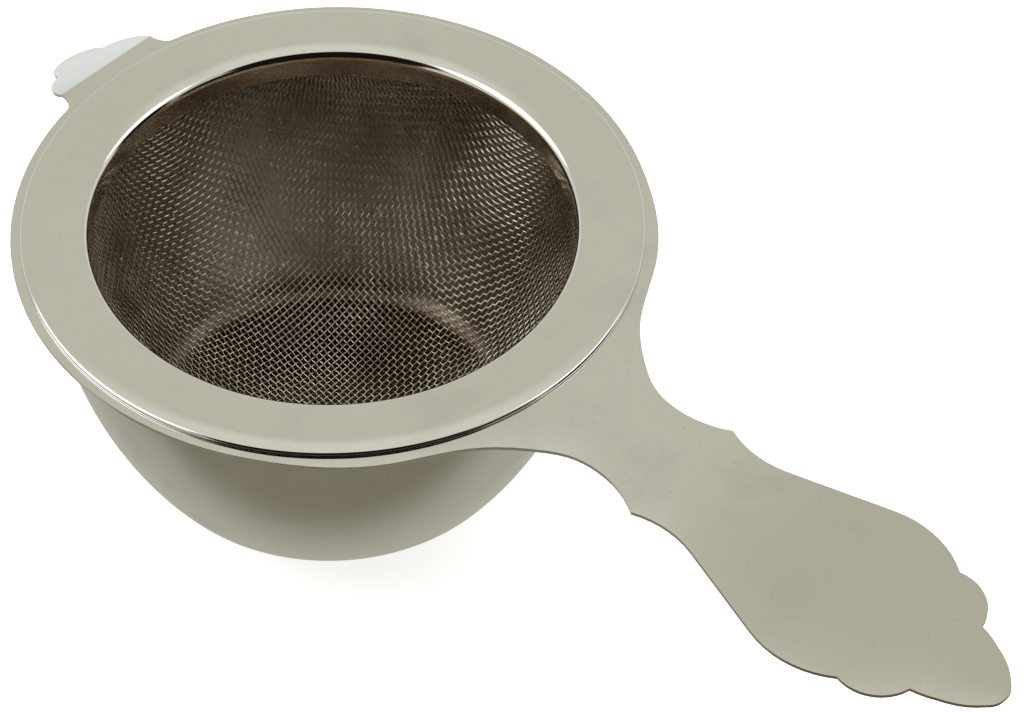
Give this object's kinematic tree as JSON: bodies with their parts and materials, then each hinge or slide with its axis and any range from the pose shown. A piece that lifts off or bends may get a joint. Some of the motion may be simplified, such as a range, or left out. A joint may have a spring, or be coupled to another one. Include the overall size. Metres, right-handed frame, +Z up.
{
  "type": "tea strainer",
  "caption": "Tea strainer: a sheet plate with a scalloped handle and rest tab, a pressed ring and a wire basket, resting on a drip bowl.",
  "frame": {"origin": "centre of the drip bowl's flat foot", "axes": "+X from the strainer's ring to the end of its handle, +Z up through the open basket"},
  "size_m": [0.1641, 0.083, 0.0401],
  "materials": {
    "bowl_steel": "soft polish",
    "plate_steel": "polished",
    "ring_steel": "polished",
    "mesh_wire": "bright drawn wire"
  },
  "bodies": {
    "bowl": {"drip_bowl": "bowl_steel"},
    "strainer": {"handle_plate": "plate_steel", "top_ring": "ring_steel", "mesh_basket": "mesh_wire"}
  },
  "joints": [
    {"name": "strainer_lift", "type": "slide", "parent": "bowl", "child": "strainer", "axis": [0, 0, 1], "range_m": [0, 0.045]}
  ]
}
